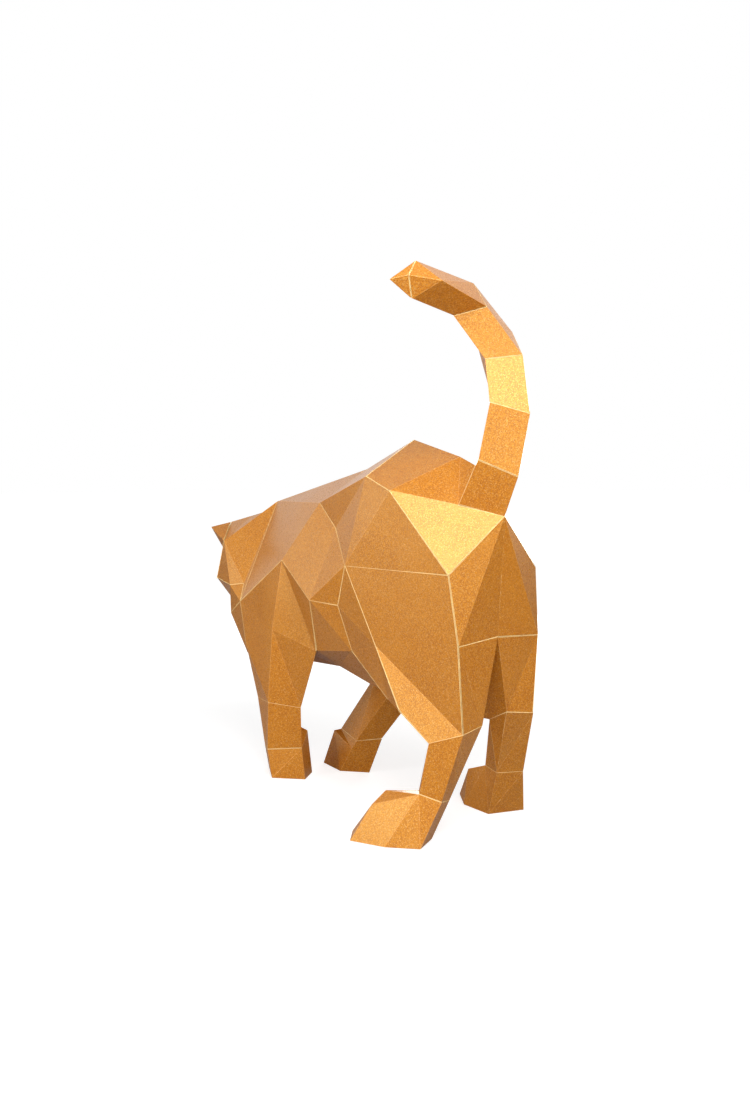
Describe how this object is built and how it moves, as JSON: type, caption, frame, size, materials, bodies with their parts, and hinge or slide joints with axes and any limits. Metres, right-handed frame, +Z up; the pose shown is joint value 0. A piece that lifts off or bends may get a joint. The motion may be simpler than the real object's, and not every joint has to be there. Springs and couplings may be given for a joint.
{
  "type": "papercraft cat",
  "caption": "Walking cat built from folded and glued card facets, hollow inside, with its tail raised and curling to one side; it stands free on its paws.",
  "frame": {"origin": "on the floor under the paws, below the middle of the cat's bounding box", "axes": "+X to the cat's left, +Y towards its tail, +Z up"},
  "size_m": [0.179, 0.43, 0.45],
  "materials": {
    "gold_card": "gold pearlescent, satin, fine speckled grain"
  },
  "bodies": {
    "root": {"back": "gold_card", "belly": "gold_card", "chest": "gold_card", "face": "gold_card", "left_ear": "gold_card", "left_front_paw": "gold_card", "left_haunch": "gold_card", "left_hind_paw": "gold_card", "left_hip": "gold_card", "left_lower_foreleg": "gold_card", "left_shank": "gold_card", "left_thigh": "gold_card", "left_upper_foreleg": "gold_card", "lower_jaw": "gold_card", "right_ear": "gold_card", "right_front_paw": "gold_card", "right_haunch": "gold_card", "right_hind_paw": "gold_card", "right_hip": "gold_card", "right_lower_foreleg": "gold_card", "right_shank": "gold_card", "right_thigh": "gold_card", "right_upper_foreleg": "gold_card", "rump": "gold_card", "rump_rear": "gold_card", "skull": "gold_card", "tail_curl": "gold_card", "tail_lower": "gold_card", "tail_middle": "gold_card", "tail_root": "gold_card", "tail_tip": "gold_card", "tail_upper": "gold_card"}
  },
  "joints": []
}
